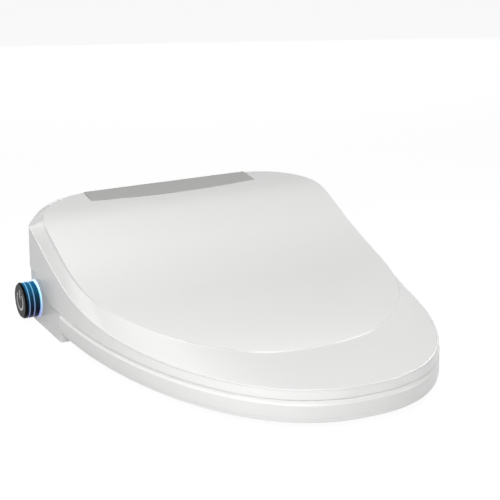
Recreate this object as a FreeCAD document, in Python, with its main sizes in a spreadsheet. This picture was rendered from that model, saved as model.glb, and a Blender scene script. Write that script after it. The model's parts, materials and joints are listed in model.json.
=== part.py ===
import FreeCAD, Part
import Sketcher
import math
import os
import re

# Electric bidet seat.  Millimetres, +Z up, -Y towards the front of the bowl.
# The origin is the middle of the two bowl bolts, on the rim that the seat stands on.

# name, value, meaning
SIZES = [
    ("rear_reach", 50.0, "bolt line to the rear face"),
    ("front_reach", 470.0, "bolt line to the front tip"),
    ("widest_half", 193.7, "half of the greatest width"),
    ("widest_back", 108.25, "how far ahead of the bolts the seat is widest"),
    ("front_round_x", 2.34, "front outline exponent across"),
    ("front_round_y", 1.98, "front outline exponent along"),
    ("rear_corner", 42.0, "plan radius of the rear corners"),
    ("wall", 2.6, "wall of the large mouldings"),
    ("lid_gap", 0.8, "gap between lid and what lies below it"),
    ("side_recess", 2.0, "base side stands this far inside the lid side"),
    ("lid_edge_height", 37.4, "lower edge of the lid over the seat ring"),
    ("lid_shoulder_height", 47.4, "sharp edge above the lid's skirt at the front"),
    ("shoulder_inset", 2.6, "draft of the lid's skirt up to its shoulder"),
    ("shoulder_climb", 67.5, "rise of that edge from the front tip to the rear"),
    ("knee_back", 53.0, "where the lid's lower edge starts to climb"),
    ("cheek_climb", 27.7, "angle of the climbing lower edge, degrees"),
    ("crest_height", 138.8, "top of the unit at its rear edge"),
    ("pad_margin", 8.7, "side of the raised panel, in from the lid's widest outline"),
    ("pad_back", 95.0, "where the raised panel is widest, ahead of the bolts"),
    ("pad_front", 356.5, "front tip of the raised panel"),
    ("pad_rear", 46.0, "rear edge of the raised panel"),
    ("panel_fall", 87.8, "front tip of the raised panel, below the rear edge"),
    ("pad_corner", 80.0, "plan radius of the raised panel's rear corners"),
    ("pad_step", 0.5, "how far the raised panel stands proud of the brim"),
    ("hinge_drop", 19.8, "hinge axis below the top of the rear edge"),
    ("hinge_forward", 3.0, "hinge axis ahead of the bolts"),
    ("hinge_pin_radius", 4.0, "steel hinge pin"),
    ("hinge_eye_radius", 8.0, "eye round the hinge pin"),
    ("running_gap", 0.05, "radial clearance of a turning fit"),
    ("notch_half", 108.5, "half width of the notch in the lid's rear edge"),
    ("notch_middle", 12.0, "front edge of the deck strip on the centre line"),
    ("notch_end", 20.2, "front edge of the deck strip at its ends"),
    ("strip_fall", 5.2, "deck strip's front edge below its rear edge"),
    ("strip_thick", 3.0, "deck strip moulding"),
    ("base_front", 85.5, "bolt line to the front face of the base"),
    ("front_face_height", 42.0, "top of the base's upright front face"),
    ("tray_height", 12.0, "joint between base tray and base top shell"),
    ("seat_bottom", 13.3, "underside of the seat ring"),
    ("seat_seam", 17.3, "joint between the two mouldings of the seat ring"),
    ("seat_top", 36.6, "top of the seat ring"),
    ("seat_gap", 0.8, "gap between seat ring and base"),
    ("hole_half", 108.0, "half width of the seat opening"),
    ("hole_rear", 126.0, "rear of the seat opening, ahead of the bolts"),
    ("hole_front", 396.0, "front of the seat opening"),
    ("hole_back", 250.0, "where the opening is widest"),
    ("hole_corner", 84.0, "plan radius of the opening's rear corners"),
    ("arm_inner", 111.0, "inner face of a seat hinge arm"),
    ("arm_thick", 15.0, "seat hinge arm"),
    ("boss_thick", 13.0, "lid hinge boss"),
    ("side_gap", 1.5, "gap between hinge pieces along the axis"),
    ("bolt_spacing", 140.0, "distance between the bowl bolts"),
    ("bolt_slot_half_width", 4.5, "half width of a bolt slot"),
    ("bolt_slot_length", 44.0, "length of a bolt slot"),
    ("plate_length", 236.0, "mounting plate across"),
    ("plate_depth", 62.0, "mounting plate along"),
    ("plate_thick", 5.0, "mounting plate"),
    ("knob_radius", 21.8, "side knob"),
    ("knob_reach", 20.0, "how far the knob stands out of the base"),
    ("knob_forward", 0.0, "knob axis ahead of the bolts"),
    ("knob_sink", 1.811, "knob axis below the middle of the base's side"),
    ("knob_travel", 1.5, "push of the knob"),
    ("nozzle_angle", 28.0, "slope of the wash nozzles, degrees"),
    ("nozzle_radius", 5.5, "wash nozzle tube"),
    ("nozzle_spacing", 27.0, "between the two nozzles"),
    ("nozzle_length", 124.0, "nozzle from tip to tail"),
    ("nozzle_tip_back", 80.0, "retracted nozzle tip, ahead of the bolts"),
    ("nozzle_tip_height", 8.2, "retracted nozzle tip above the rim"),
    ("nozzle_stroke", 74.0, "travel of a nozzle"),
    ("drive_radius", 7.0, "pitch radius of a nozzle drive pinion"),
    ("drive_face", 6.0, "width of a nozzle drive pinion"),
    ("drive_reach", 85.0, "drive pinion from the nozzle tip, along the nozzle"),
    ("drive_shaft_radius", 1.5, "shaft of a drive motor"),
    ("motor_half", 8.5, "half the side of a square nozzle drive motor"),
    ("motor_length", 18.0, "nozzle drive motor"),
    ("cradle_wall", 4.0, "floor and cheeks of the nozzle cradle"),
    ("free_gap", 0.3, "gap between pieces that move past each other"),
    ("inlet_thread_radius", 10.45, "G 1/2 water inlet"),
    ("inlet_inset", 41.7, "water inlet, in from the base's left side"),
    ("inlet_back", 24.0, "water inlet, behind the bolts"),
    ("pocket_half", 22.0, "half width of the pocket round the inlet"),
    ("pocket_reach", 16.0, "front of that pocket, ahead of the inlet"),
    ("pocket_height", 13.0, "roof of that pocket above the rim"),
    ("knob_shaft_radius", 6.5, "shaft of the side knob"),
    ("knob_end_wall", 4.0, "knob's end wall, over the end of its bore"),
    ("knob_edge", 2.0, "bevel round the knob's end face"),
    ("halo_radius", 22.6, "light ring at the foot of the knob"),
    ("halo_thick", 0.7, "light ring at the foot of the knob"),
    ("button_radius", 8.0, "release button"),
    ("button_back", 12.0, "release button behind the bolts"),
    ("button_height", 24.0, "release button above the rim"),
    ("blower_side", 70.0, "dryer blower, right of the centre"),
    ("blower_back", 12.0, "dryer blower, behind the bolts"),
    ("blower_radius", 30.0, "dryer blower housing"),
    ("blower_height", 26.0, "dryer blower housing"),
    ("impeller_radius", 24.0, "dryer blower wheel"),
    ("fan_radius", 9.0, "deodoriser fan"),
    ("fan_height", 22.6, "deodoriser fan axis above the rim"),
    ("cartridge_back", 45.0, "deodoriser cartridge ahead of the bolts"),
    ("cartridge_length", 41.7, "deodoriser cartridge, in from the base's right side"),
    ("cartridge_width", 38.0, "deodoriser cartridge along the side"),
    ("cartridge_low", 14.0, "deodoriser cartridge above the rim"),
    ("cartridge_height", 18.0, "deodoriser cartridge"),
    ("gland_inset", 51.7, "cord gland, in from the base's right side"),
    ("gland_radius", 9.0, "cord gland"),
    ("gland_height", 26.0, "cord gland above the rim"),
    ("window_radius", 5.0, "receiver window"),
    ("window_back", 76.0, "receiver window ahead of the bolts"),
    ("window_height", 24.0, "receiver window above the rim"),
    ("light_half", 24.0, "half width of the night light"),
    ("light_low", 26.0, "lower edge of the night light"),
    ("light_high", 34.0, "upper edge of the night light"),
    ("mouth_high", 22.0, "top of the nozzles' opening"),
    ("mouth_depth", 27.5, "depth of the nozzles' opening"),
    ("dryer_side", 66.0, "dryer mouth, right of the centre"),
    ("dryer_half", 20.0, "half width of the dryer mouth"),
    ("dryer_low", 16.0, "lower edge of the dryer mouth"),
    ("dryer_high", 34.0, "upper edge of the dryer mouth"),
    ("duct_wall", 2.0, "wall of the dryer duct and blower"),
    ("seat_bumper_side", 138.0, "rear rubber foot of the ring, off the centre"),
    ("seat_bumper_back", 170.0, "rear rubber foot of the ring, ahead of the bolts"),
    ("tip_bumper_side", 55.0, "front rubber foot of the ring, off the centre"),
    ("tip_bumper_back", 392.0, "front rubber foot of the ring, ahead of the bolts"),
    ("lid_bumper_side", 142.0, "rear rubber block of the lid, off the centre"),
    ("lid_bumper_back", 190.0, "rear rubber block of the lid, ahead of the bolts"),
    ("lid_tip_bumper_side", 92.0, "front rubber block of the lid, off the centre"),
    ("lid_tip_bumper_back", 385.0, "front rubber block of the lid, ahead of the bolts"),
    ("tank_side", 100.0, "outer end of the heater tank, left of the centre"),
    ("tank_length", 52.0, "heater tank across"),
    ("tank_width", 60.0, "heater tank along"),
    ("tank_height", 36.0, "heater tank"),
    ("pump_side", 87.0, "outer face of the pump, left of the centre"),
    ("pump_back", 70.0, "front face of the pump, ahead of the bolts"),
    ("pump_width", 24.0, "side of the square pump"),
    ("pump_height", 30.0, "pump"),
    ("valve_length", 32.0, "inlet valve across"),
    ("valve_width", 28.0, "inlet valve along and upwards"),
    ("valve_low", 15.0, "inlet valve above the rim"),
    ("hose_radius", 4.0, "hose from the valve to the tank"),
    ("encoder_side", 26.0, "square case of the knob's encoder"),
    ("encoder_depth", 20.0, "case of the knob's encoder"),
    ("board_length", 180.0, "main board across"),
    ("board_height", 43.0, "main board upwards"),
    ("board_low", 55.0, "lower edge of the main board above the rim"),
    ("board_thick", 1.6, "circuit boards"),
]


def open_sheet(doc):
    """Spreadsheet with one row for each driving size."""
    sheet = doc.addObject("Spreadsheet::Sheet", "Sizes")
    for row, (name, value, meaning) in enumerate(SIZES, start=1):
        sheet.set("A%d" % row, name)
        sheet.set("B%d" % row, str(value))
        sheet.setAlias("B%d" % row, name)
        sheet.set("C%d" % row, meaning)
    doc.recompute()
    return sheet


doc = FreeCAD.newDocument("bidet_seat")
sheet = open_sheet(doc)
NAMES = {name for name, _, _ in SIZES}
V = FreeCAD.Vector
X_AXIS = V(1, 0, 0)
Y_AXIS = V(0, 1, 0)
Z_AXIS = V(0, 0, 1)
nodes = []


def size(name):
    return float(sheet.get(name))


def bind(obj, **rules):
    """Bind properties to sheet cells; a double underscore stands for a dot."""
    for prop, rule in rules.items():
        text = re.sub(r"[a-z_][a-z_0-9]*", lambda m: "Sizes." + m[0] if m[0] in NAMES else m[0], str(rule))
        obj.setExpression(prop.replace("__", "."), text)
    return obj


def at(obj, x, y, z, turn=None):
    """Place an object; every coordinate is a rule of the sheet."""
    if turn:
        obj.Placement = FreeCAD.Placement(V(), turn)
    return bind(obj, Placement__Base__x=x, Placement__Base__y=y, Placement__Base__z=z)


ALONG_X = FreeCAD.Rotation(Y_AXIS, 90)
ALONG_Y = FreeCAD.Rotation(X_AXIS, -90)


# ---- outlines -----------------------------------------------------------------------------

def front_quarter(half, centre, front, powers, count):
    """Superellipse quarter from the widest point to the front tip, as evenly spaced points."""
    angles = [math.pi / 2 * step / 400 for step in range(401)]
    curve = []
    for a in angles[:-1]:
        along = (centre - front) * math.sin(a) ** (2 / powers[1])
        curve.append(V(half * math.cos(a) ** (2 / powers[0]), centre - along, 0))
    curve.append(V(0, front, 0))
    reached = [0.0]
    for before, after in zip(curve, curve[1:]):
        reached.append(reached[-1] + (after - before).Length)
    run = []
    for target in stepped(0, reached[-1], count):
        nearest = min(range(401), key=lambda k: abs(reached[k] - target))
        run.append((curve[nearest].x, curve[nearest].y))
    return run


def outline(half, centre, front, rear, powers, corner, count):
    """Right half of a closed outline, as runs of points from the rear centre to the front tip.

    The rear is straight with a round corner, the side is straight, the front is a superellipse.
    """
    middle = V(half - corner, rear - corner, 0)
    turns = [math.pi / 2 * step / 4 for step in range(5)]
    return [
        [(x, rear) for x in stepped(0.0, middle.x, 3)],
        [(middle.x + corner * math.sin(a), middle.y + corner * math.cos(a)) for a in turns],
        [(half, y) for y in stepped(middle.y, centre, 3)],
        front_quarter(half, centre, front, powers, count)]


def unit_outline(inset=0.0, count=12):
    """The plan outline shared by lid, seat ring and base, moved inwards by inset."""
    return outline(
        size("widest_half") - inset, -size("widest_back"), inset - size("front_reach"),
        size("rear_reach") - inset, (size("front_round_x"), size("front_round_y")),
        size("rear_corner") - inset, count)


def pad_outline(inset=0.0, count=12):
    """Plan of the raised panel on top of the lid."""
    return outline(
        size("widest_half") - size("pad_margin") - inset, -size("pad_back"), inset - size("pad_front"),
        size("pad_rear") - inset, (2.55, 2.25), size("pad_corner") - inset, count)


def hole_outline(inset=0.0, count=12):
    """Plan of the seat opening; a negative inset makes it larger."""
    return outline(
        size("hole_half") - inset, -size("hole_back"), inset - size("hole_front"),
        -size("hole_rear") - inset, (2.1, 2.0), size("hole_corner") - inset, count)


def stepped(low, high, count):
    return [low + (high - low) * k / count for k in range(count + 1)]


def spline(points, start=None, end=None):
    """Smooth edge through points, with the directions at its ends if they are given."""
    curve = Part.BSplineCurve()
    if start:
        marks = [float(k) for k in range(len(points))]
        first, last = (points[1] - points[0]).Length, (points[-1] - points[-2]).Length
        curve.interpolate(Points=points, Parameters=marks, InitialTangent=start.normalize() * first,
                          FinalTangent=end.normalize() * last)
    else:
        curve.interpolate(points)
    return curve.toShape()


def flat_edges(run, height, straight):
    """A level run of points as one straight line, or as arcs through three points at a time."""
    points = [V(x, y, height) for x, y in run]
    if straight:
        return [Part.makeLine(points[0], points[-1])]
    return [Part.Arc(*points[k:k + 3]).toShape() for k in range(0, len(points) - 2, 2)]


def mirrored_wire(edges):
    return Part.Wire(edges + [edge.mirror(V(), X_AXIS) for edge in edges][::-1])


def flat_wire(runs, height):
    """Closed level wire over an outline, of straight lines and arcs only."""
    edges = []
    for place, run in enumerate(runs):
        edges += flat_edges(run, height, place in (0, 2))
    return mirrored_wire(edges)


def closed_wire(runs, height):
    """Closed wire over an outline, one edge for each run; height is a number or a rule of x and y."""
    rule = height if callable(height) else lambda x, y: height
    headings = [(X_AXIS, X_AXIS), (X_AXIS, -Y_AXIS), (-Y_AXIS, -Y_AXIS), (-Y_AXIS, -X_AXIS)]
    edges = []
    for place, (run, ends) in enumerate(zip(runs, headings)):
        if place < 3 and not callable(height):
            edges.append(flat_edges(run[::2] if place == 1 else run, height, place != 1)[0])
            continue
        points = [V(x, y, rule(x, y)) for x, y in run]
        slopes = []
        for point, heading in zip((points[0], points[-1]), ends):
            before, after = point - heading, point + heading
            rise = rule(max(after.x, 0), after.y) - rule(max(before.x, 0), before.y)
            slopes.append(heading + V(0, 0, rise / 2))
        edges.append(spline(points, *slopes))
    return mirrored_wire(edges)


def loft(wires):
    return Part.makeLoft(wires, True, True)


def prism(outline, low, high):
    return Part.Face(flat_wire(outline, low)).extrude(V(0, 0, high - low))


def plain_prism(runs, low, high):
    """Prism over the outline's own points joined by straight lines, for hollows out of sight."""
    right = [V(x, y, low) for run in runs for x, y in run[1:]]
    left = [V(-p.x, p.y, low) for p in right[-2::-1]]
    return Part.Face(Part.makePolygon(right + left + right[:1])).extrude(V(0, 0, high - low))


def along_x(profile, half, smooth_top=None):
    """Solid with a side profile of (y, z) points, reaching half to each side of the centre plane.

    smooth_top is a run of points, joined by one smooth curve, that closes the profile.
    """
    points = [V(-half, y, z) for y, z in profile]
    if smooth_top:
        top = [V(-half, y, z) for y, z in smooth_top]
        wire = Part.Wire([spline(top), Part.makePolygon([top[-1]] + points + top[:1])])
    else:
        wire = Part.makePolygon(points + points[:1])
    return Part.Face(wire).extrude(V(2 * half, 0, 0))


def rod(radius, length, start, axis):
    return Part.makeCylinder(radius, length, start, axis)


def block(low, high):
    return Part.makeBox(high[0] - low[0], high[1] - low[1], high[2] - low[2], V(*low))


def slab(low_y, high_y, low_z, high_z):
    """Block right across the seat, between two distances along it and two heights."""
    half = size("widest_half") + 50
    return block((-half, low_y, low_z), (half, high_y, high_z))


def both_sides(shape):
    """A shape and its mirror image across the centre plane."""
    return [shape, shape.mirror(V(), X_AXIS)]


# ---- side profiles ------------------------------------------------------------------------

def smooth_rule(table):
    """Height as a smooth function of y, through a few (y, z) stations given from front to rear."""
    def slope(i):
        low, high = table[max(i - 1, 0)], table[min(i + 1, len(table) - 1)]
        return (high[1] - low[1]) / (high[0] - low[0])

    def height(y):
        y = min(max(y, table[0][0]), table[-1][0])
        i = next(k for k in range(len(table) - 1) if y <= table[k + 1][0])
        (y0, z0), (y1, z1) = table[i], table[i + 1]
        span = y1 - y0
        t = (y - y0) / span
        return ((1 + 2 * t) * (1 - t) ** 2 * z0 + t * (1 - t) ** 2 * span * slope(i)
                + t * t * (3 - 2 * t) * z1 + t * t * (t - 1) * span * slope(i + 1))
    return height


def panel_rule():
    """Height of the lid's raised panel: a flat crest, a rolled shoulder and a long shallow fall.

    Each station is a share of the panel's reach ahead of the bolts, and a share of its fall.
    """
    crest, fall, reach = size("crest_height"), size("panel_fall"), size("pad_front")
    shares = [(1.0, 1.0), (0.94, 0.936), (0.842, 0.872), (0.715, 0.818), (0.603, 0.774), (0.491, 0.72),
              (0.379, 0.629), (0.266, 0.485), (0.154, 0.296), (0.07, 0.155), (0.0, 0.075), (-0.056, 0.046)]
    stations = [(-reach * along, crest - fall * down) for along, down in shares]
    tip = (-size("front_reach"), crest - fall * 1.06)
    return smooth_rule([tip] + stations + [(size("rear_reach"), crest)])


def shoulder_rule():
    """Height of the edge between the lid's skirt and its bevelled brim.

    Along the side it climbs by stations, each a share of the front reach and of the climb;
    across the rear it is a crown that falls off towards the corners.
    """
    low, climb, reach = size("lid_shoulder_height"), size("shoulder_climb"), size("front_reach")
    shares = [(1.0, 0.0), (0.719, 0.009), (0.54, 0.04), (0.453, 0.077), (0.404, 0.108), (0.351, 0.154),
              (0.294, 0.222), (0.228, 0.324), (0.194, 0.388), (0.123, 0.572), (0.051, 0.764),
              (-0.006, 0.933), (-0.043, 0.985)]
    side = smooth_rule([(-reach * along, low + climb * up) for along, up in shares]
                       + [(size("rear_reach"), low + climb)])
    crown_start = size("notch_half") + 6.5
    crown_radius = 100.0
    crown = size("crest_height") - 0.6

    def height(x, y):
        if y < 0:
            return side(y)
        over = min(max(abs(x) - crown_start, 0), crown_radius - 1)
        rear = crown - crown_radius + math.sqrt(crown_radius ** 2 - over ** 2)
        blend = min(y / (size("rear_reach") - 12), 1.0)
        blend = blend * blend * (3 - 2 * blend)
        higher = (rear + side(y) + math.hypot(rear - side(y), 5)) / 2
        return (1 - blend) * side(y) + blend * higher
    return height


def hinge_height():
    return size("crest_height") - size("hinge_drop")


def hinge_axis():
    return V(0, -size("hinge_forward"), hinge_height())


def lid_swing():
    """Radius about the hinge axis that the lid's rear top edge needs as it turns."""
    return math.hypot(size("rear_reach") + size("hinge_forward"), size("hinge_drop")) + size("lid_gap")


def knob_height():
    """The knob is set in the base's side, between the rim and the lid's lowest sweep."""
    return (hinge_height() - lid_swing()) / 2 - size("knob_sink")


def cheek_profile(drop):
    """Line of the lid's lower edge in the YZ plane, lowered by drop, as points from front to rear.

    Level over the seat ring, climbing along the cheek, then an arc about the hinge axis,
    so that the lid's rear corner clears the base as it turns.
    """
    slope = math.radians(size("cheek_climb"))
    knee = (-size("knee_back"), size("lid_edge_height") - drop)
    axis = hinge_axis()
    nearest = (axis.z - knee[1]) * math.cos(slope) + (knee[0] - axis.y) * math.sin(slope)
    reach = max(lid_swing() + drop, nearest)
    first = slope - math.acos(nearest / reach)
    last = math.asin((size("rear_reach") + 1 - axis.y) / reach)
    turns = stepped(first, last, 7)
    return [knee] + [(axis.y + reach * math.sin(a), axis.z - reach * math.cos(a)) for a in turns]


# ---- lid ----------------------------------------------------------------------------------

def lid_outside():
    """Closed body inside the lid's outer faces."""
    shoulder = shoulder_rule()
    panel = panel_rule()
    brim = loft([
        closed_wire(unit_outline(), size("lid_edge_height") - 2),
        closed_wire(unit_outline(size("shoulder_inset")), shoulder),
        closed_wire(pad_outline(1), lambda x, y: panel(y) - size("pad_step")),
        closed_wire(pad_outline(12), size("lid_edge_height") - 10)])
    return brim.fuse(under_profile(pad_outline(), panel))


def lid_inside():
    """Room under the lid: one part follows the raised panel, the other the brim round it."""
    shoulder = shoulder_rule()
    panel = panel_rule()
    wall = size("wall")
    below_panel = under_profile(pad_outline(wall, 14), lambda y: panel(y) - wall, plain_prism)
    side = size("widest_half")
    below_brim = under_profile(
        unit_outline(wall + size("shoulder_inset"), 14), lambda y: shoulder(side, y) - wall, plain_prism)
    return below_panel.fuse(below_brim)


def under_profile(runs, rule, upright=prism):
    """Upright body over an outline, closed above by a side profile."""
    front, rear = runs[-1][-1][1] - 1, runs[0][0][1] + 1
    top = [(y, rule(y)) for y in stepped(front, rear, 14)]
    body = upright(runs, 0, size("crest_height") + 5)
    return body.common(along_x([(rear, -2.0), (front, -2.0)], size("widest_half") + 1, top))


def below_edge(drop, clear_rear=0.0):
    """Everything below the lid's lower edge, as a block under its side profile."""
    front, rear = -size("front_reach") - 5, size("rear_reach") + clear_rear
    edge = cheek_profile(drop)
    return along_x([(rear, -5), (front, -5), (front, edge[0][1])] + edge + [(rear, edge[-1][1])],
                   size("widest_half") + 5)


def strip_edge_radius(behind):
    """Distance from the hinge axis to the deck strip's front edge, that far behind the bolts."""
    return math.hypot(behind + size("hinge_forward"), size("hinge_drop") - size("strip_fall"))


def hinge_barrel(growth):
    """Hourglass round the hinge axis: its waist is the bowed front edge of the deck strip."""
    half = size("notch_half") + 2
    axis = hinge_axis()
    middle = axis + V(0, 0, strip_edge_radius(size("notch_middle")) + growth)
    end = axis + V(0, 0, strip_edge_radius(size("notch_end")) + growth)
    side = V(half, 0, 0)
    edge = Part.Arc(end - side, middle, end + side).toShape()
    sides = Part.makePolygon([end + side, axis + side, axis - side, end - side])
    return Part.Face(Part.Wire([edge, sides])).revolve(axis, X_AXIS, 360)


def notch_room(half, growth):
    """Space behind the notch: the part of a block that lies outside the hinge barrel."""
    high = size("crest_height") + 10
    rear = size("rear_reach") + 5
    room = block((-half, 0, hinge_height()), (half, rear, high))
    deep = block((-half, size("notch_end") - 8, 40), (half, rear, high))
    return room.fuse(deep).cut(hinge_barrel(growth))


def eye(inner, thick, radius):
    return rod(radius, thick, hinge_axis() + V(inner, 0, 0), X_AXIS)


def boss_inner():
    return size("arm_inner") + size("arm_thick") + size("side_gap")


def lid_shell():
    """Lid moulding: thin shell with a notch at the rear and two hinge bosses under its ears."""
    outside = lid_outside()
    shell = outside.cut(lid_inside()).cut(below_edge(0, 10))
    radius = size("hinge_eye_radius")
    inner = boss_inner()
    centre = -size("hinge_forward")
    web = block((inner, centre - radius, hinge_height()),
                (inner + size("boss_thick"), centre + radius, size("crest_height")))
    for boss in both_sides(eye(inner, size("boss_thick"), radius).fuse(web).common(outside)):
        shell = shell.fuse(boss)
    bore = eye(inner - 1, size("boss_thick") + 2, size("hinge_pin_radius") + size("running_gap"))
    for hole in both_sides(bore):
        shell = shell.cut(hole)
    return shell.cut(notch_room(size("notch_half") + size("lid_gap"), -size("lid_gap")))


def lid_bumpers():
    """Four rubber blocks under the lid that carry it on the seat ring."""
    level = size("seat_top") + size("free_gap")
    pads = []
    for x, y in ((size("lid_bumper_side"), -size("lid_bumper_back")),
                 (size("lid_tip_bumper_side"), -size("lid_tip_bumper_back"))):
        pads += both_sides(block((x - 6, y - 10, level), (x + 6, y + 10, level + 60)))
    return Part.makeCompound([pad.common(lid_inside()) for pad in pads])


# ---- seat ring ----------------------------------------------------------------------------

def seat_rear():
    return -size("base_front") - size("seat_gap")


def seat_behind(inset):
    """Everything behind the ring's rear edge."""
    return slab(seat_rear() - inset, size("rear_reach") + 50, -5, size("crest_height"))


def seat_form():
    """Ring body with a rolled outer rim and a rolled opening, ahead of the base."""
    low, high = size("seat_seam"), size("seat_top")
    outer = loft([flat_wire(unit_outline(0.6), low), flat_wire(unit_outline(0.6), high - 5),
                  flat_wire(unit_outline(4), high)])
    opening = loft([flat_wire(hole_outline(), low - 1), flat_wire(hole_outline(), high - 8),
                    flat_wire(hole_outline(-8), high + 0.5)])
    return outer.cut(opening).cut(seat_behind(0))


def seat_room():
    """Hollow of the ring, open below."""
    wall = size("wall")
    low, high = size("seat_seam") - 1, size("seat_top") - wall
    ring = plain_prism(unit_outline(wall + 2.4, 14), low, high)
    ring = ring.cut(plain_prism(hole_outline(-wall - 5, 14), low - 1, high + 1))
    return ring.cut(seat_behind(wall))


def seat_arm():
    """Right hinge arm, from the rear of the ring up to the hinge axis."""
    axis = hinge_height()
    radius = size("hinge_eye_radius")
    root = seat_rear()
    top = size("seat_top")
    under = top - size("wall")
    profile = [(root - 4, under), (root - 24, under), (root - 24, top + 8), (root - 14, top + 30),
               (-44, axis - 14), (-7, axis + radius - 1), (0, axis - radius + 1), (-30, axis - 32),
               (root + 12, top + 22)]
    half = size("arm_thick") / 2
    arm = along_x(profile, half)
    arm.translate(V(size("arm_inner") + half, 0, 0))
    return arm.fuse(eye(size("arm_inner"), size("arm_thick"), radius))


def seat_top_shell():
    """Upper moulding of the seat ring, hollow from below, with its two hinge arms."""
    shell = seat_form().cut(seat_room())
    bores = both_sides(eye(size("arm_inner") - 1, size("arm_thick") + 2,
                           size("hinge_pin_radius") + size("running_gap")))
    for arm, bore in zip(both_sides(seat_arm()), bores):
        shell = shell.fuse(arm).cut(bore)
    return shell


def seat_bottom_shell():
    """Lower moulding of the seat ring: a flat ring that closes the upper one."""
    low, seam = size("seat_bottom"), size("seat_seam")
    plate = prism(unit_outline(1.4), low, seam).cut(prism(hole_outline(-1), low - 1, seam + 1))
    return plate.cut(seat_behind(1))


def seat_heater_foil():
    """Heating foil stuck under the top of the ring."""
    top = size("seat_top") - size("wall")
    foil = plain_prism(unit_outline(20, 10), top - 0.5, top).cut(plain_prism(hole_outline(-22, 10), 0, 90))
    return foil.cut(seat_behind(12))


def occupancy_sensor():
    rear = seat_rear() - 12
    return block((-15, rear - 14, size("seat_seam")), (15, rear, size("seat_seam") + 6))


def seat_bumpers():
    """Four rubber feet under the ring, on the bowl's rim."""
    pads = []
    for x, y in ((size("seat_bumper_side"), -size("seat_bumper_back")),
                 (size("tip_bumper_side"), -size("tip_bumper_back"))):
        pad = block((x - 9, y - 8, 0), (x + 9, y + 8, size("seat_bottom")))
        pads += both_sides(pad)
    return Part.makeCompound(pads)


# ---- base ---------------------------------------------------------------------------------

def base_ahead(inset):
    """Everything ahead of the base's front face."""
    return slab(-size("front_reach") - 10, inset - size("base_front"), -5, size("crest_height"))


def base_sides(inset, drop, low):
    """Low part of the base, full width, closed above by the line of the lid's edge."""
    body = prism(unit_outline(size("side_recess") + inset), low, size("crest_height"))
    return body.cut(base_ahead(inset)).common(below_edge(drop, -inset))


def strip_line(y):
    """Height of the deck strip's top, which rises straight to the rear edge."""
    front, rear = size("notch_middle"), size("rear_reach")
    return size("crest_height") - size("strip_fall") * (rear - y) / (rear - front)


def housing_profile(inset):
    """Side profile of the tall middle of the base."""
    front, rear = inset - size("base_front"), size("rear_reach") - inset
    low = size("tray_height") - 6
    axis = hinge_height()
    shelf = axis - 12 - inset
    top = size("strip_thick") + inset
    return [(rear, low), (front, low), (front, size("front_face_height") - inset / 2),
            (-60 + inset, axis - 29 - inset / 2), (-52 + inset, axis - 18 - inset), (-38, shelf), (0, shelf),
            (2, strip_line(2) - top), (rear, strip_line(rear) - top)]


def housing_half():
    return size("notch_half") - size("lid_gap")


def base_form(inset, low):
    """Closed body of the base top shell, or of the room inside it."""
    sides = base_sides(inset, size("lid_gap") + inset, low)
    half = housing_half() - inset
    middle = along_x(housing_profile(inset), half)
    side = V(size("widest_half"), 0, 0)
    trough = rod(strip_edge_radius(size("notch_end")) + inset, 2 * side.x, hinge_axis() - side, X_AXIS)
    foot = slab(-size("base_front") - 10, size("rear_reach") + 10, -50, low)
    middle = middle.cut(foot).cut(trough)
    return sides.fuse(middle)


def base_walls():
    return base_form(0, size("tray_height")).cut(base_form(size("wall"), size("tray_height") - 1))


def base_side():
    """Distance of the base's flat side faces from the centre plane."""
    return size("widest_half") - size("side_recess")


def knob_spot(x):
    return V(x, -size("knob_forward"), knob_height())


def nozzle_mouth():
    """Opening low in the base's front face, through which the nozzles come out."""
    half = size("nozzle_spacing") / 2 + size("nozzle_radius") + 4.5
    front = -size("base_front")
    return block((-half, front - 1, -1), (half, front + size("mouth_depth"), size("mouth_high")))


def dryer_box(inset, start, end):
    """Block the size of the dryer's mouth, less inset on each side, over a stretch of y."""
    side, half = size("dryer_side"), size("dryer_half") - inset
    low, high = size("dryer_low") + inset, size("dryer_high") - inset
    return block((side - half, start, low), (side + half, end, high))


def dryer_mouth():
    return dryer_box(0, -size("base_front") - 1, -size("base_front") + 6)


def light_slot():
    half, front = size("light_half"), -size("base_front")
    return block((-half, front - 1, size("light_low")), (half, front + 6, size("light_high")))


def window_bore():
    spot = V(base_side() - 8, -size("window_back"), size("window_height"))
    return rod(size("window_radius"), 12, spot, X_AXIS)


def gland_bore():
    spot = V(base_side() - size("gland_inset"), size("rear_reach") - 8, size("gland_height"))
    return rod(size("gland_radius"), 12, spot, Y_AXIS)


def cartridge_inner():
    return base_side() - size("cartridge_length")


def cartridge_bay(gap):
    middle, half = -size("cartridge_back"), size("cartridge_width") / 2 + gap
    low = size("cartridge_low") - gap
    high = low + size("cartridge_height") + 2 * gap
    return block((cartridge_inner() - gap, middle - half, low), (base_side() + 4, middle + half, high))


def knob_boss():
    """Round seat for the knob, flush with the flat of the base's side."""
    boss = rod(size("halo_radius") + 0.5, 6, knob_spot(-base_side()), X_AXIS)
    room = slab(-size("base_front"), size("rear_reach"), size("tray_height"), size("crest_height"))
    return boss.common(room).common(below_edge(size("lid_gap")))


def hinge_hub():
    """Lug on the housing that holds the right hinge pin."""
    radius = size("hinge_eye_radius")
    inner, outer = housing_half() - 13, housing_half()
    axis = hinge_axis()
    deep = strip_edge_radius(size("notch_end")) + 1.5
    web = block((inner, axis.y - radius, axis.z - deep), (outer, axis.y + radius - 3, axis.z))
    return rod(radius, outer - inner, V(inner, axis.y, axis.z), X_AXIS).fuse(web)


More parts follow.
